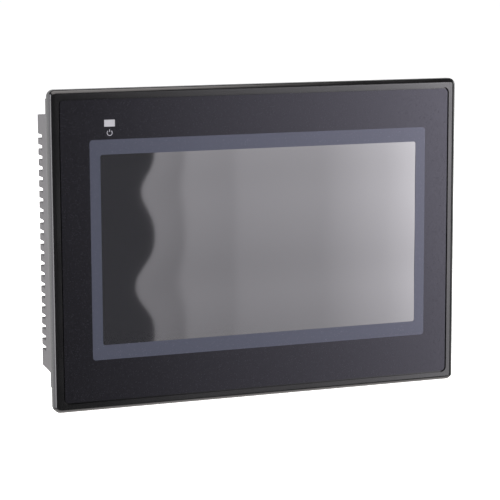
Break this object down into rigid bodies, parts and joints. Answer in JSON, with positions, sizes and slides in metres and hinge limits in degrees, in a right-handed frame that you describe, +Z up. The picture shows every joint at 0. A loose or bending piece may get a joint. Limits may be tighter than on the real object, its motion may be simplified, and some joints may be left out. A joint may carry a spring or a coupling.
{
  "type": "operator touch panel",
  "caption": "Flat rectangular operator touch panel for a cabinet door, with a sealed bezel, a wide display and a vented rear case with ports below.",
  "frame": {"origin": "centre of the door cut-out, in the plane where the gasket meets the door's outer face", "axes": "+X to the right and +Z up for someone in front of the panel, +Y into the cabinet"},
  "size_m": [0.202, 0.046, 0.148],
  "materials": {
    "bezel_plastic": "black moulded plastic with a fine satin texture",
    "printed_film": "black printed polyester film with a blue-grey border and a clear window",
    "gasket_rubber": "black closed-cell foam rubber",
    "display_glass": "clear polished glass over a dark display",
    "milky_plastic": "milky translucent plastic",
    "bright_steel": "zinc-plated sheet steel",
    "nickel_plate": "bright nickel plating",
    "circuit_board": "green solder resist",
    "black_plastic": "black moulded epoxy",
    "cream_plastic": "cream nylon",
    "terminal_green": "green polyamide",
    "flex_film": "amber polyimide film",
    "label_foil": "blank silver-grey label film",
    "battery_sleeve": "blue shrink sleeve",
    "case_plastic": "dark grey moulded plastic with a fine spark texture"
  },
  "bodies": {
    "panel": {"backlight_tray": "bright_steel", "battery": "battery_sleeve", "battery_harness": "cream_plastic", "battery_socket": "cream_plastic", "board_screw_1": "bright_steel", "board_screw_2": "bright_steel", "board_screw_3": "bright_steel", "board_screw_4": "bright_steel", "case_screw_1": "bright_steel", "case_screw_2": "bright_steel", "case_screw_3": "bright_steel", "case_screw_4": "bright_steel", "chassis_plate": "bright_steel", "chassis_screw_1": "bright_steel", "chassis_screw_2": "bright_steel", "chassis_screw_3": "bright_steel", "chassis_screw_4": "bright_steel", "com1_jackscrew_1": "nickel_plate", "com1_jackscrew_2": "nickel_plate", "com1_port": "nickel_plate", "com2_jackscrew_1": "nickel_plate", "com2_jackscrew_2": "nickel_plate", "com2_port": "nickel_plate", "dip_switch_body": "black_plastic", "display_connector": "cream_plastic", "display_flex": "flex_film", "display_seal": "gasket_rubber", "front_bezel": "bezel_plastic", "lan_port": "nickel_plate", "lcd_frame": "bright_steel", "lcd_glass": "display_glass", "led_light_pipe": "milky_plastic", "light_guide": "milky_plastic", "main_board": "circuit_board", "memory_chip": "black_plastic", "overlay_film": "printed_film", "panel_gasket": "gasket_rubber", "power_coil": "black_plastic", "power_led": "milky_plastic", "power_socket": "terminal_green", "processor_chip": "black_plastic", "rating_label": "label_foil", "rear_case": "case_plastic", "reset_switch_body": "black_plastic", "ribbon_header": "cream_plastic", "switch_board": "circuit_board", "switch_ribbon": "flex_film", "touch_connector": "cream_plastic", "touch_glass": "display_glass", "touch_tail": "flex_film", "usb_host_port": "nickel_plate", "usb_slave_port": "nickel_plate"},
    "battery_cover": {"battery_cover": "case_plastic"},
    "reset_button": {"reset_button": "milky_plastic"},
    "dip_slider_1": {"dip_slider_1": "cream_plastic"},
    "dip_slider_2": {"dip_slider_2": "cream_plastic"},
    "power_plug": {"power_plug": "terminal_green"},
    "terminal_screw_1": {"terminal_screw_1": "bright_steel"},
    "terminal_screw_2": {"terminal_screw_2": "bright_steel"},
    "terminal_screw_3": {"terminal_screw_3": "bright_steel"}
  },
  "joints": [
    {"name": "battery_cover_hinge", "type": "hinge", "parent": "panel", "child": "battery_cover", "pos_m": [0.0385, 0.0388, -0.026], "axis": [0, 0, 1], "range_deg": [0, 90]},
    {"name": "reset_press", "type": "slide", "parent": "panel", "child": "reset_button", "axis": [0, -1, 0], "range_m": [0, 0.0005], "stiffness_N_per_m": 1500, "springref_m": -0.0005},
    {"name": "dip_slider_1_throw", "type": "slide", "parent": "panel", "child": "dip_slider_1", "axis": [0, 0, 1], "range_m": [0, 0.002]},
    {"name": "dip_slider_2_throw", "type": "slide", "parent": "panel", "child": "dip_slider_2", "axis": [0, 0, 1], "range_m": [0, 0.002]},
    {"name": "power_plug_pull", "type": "slide", "parent": "panel", "child": "power_plug", "axis": [0, 0, -1], "range_m": [0, 0.02]},
    {"name": "terminal_screw_1_turn", "type": "hinge", "parent": "power_plug", "child": "terminal_screw_1", "pos_m": [0.06792, 0.01795, -0.073], "axis": [0, 0, 1], "range_deg": [-720, 0]},
    {"name": "terminal_screw_2_turn", "type": "hinge", "parent": "power_plug", "child": "terminal_screw_2", "pos_m": [0.073, 0.01795, -0.073], "axis": [0, 0, 1], "range_deg": [-720, 0]},
    {"name": "terminal_screw_3_turn", "type": "hinge", "parent": "power_plug", "child": "terminal_screw_3", "pos_m": [0.07808, 0.01795, -0.073], "axis": [0, 0, 1], "range_deg": [-720, 0]}
  ]
}
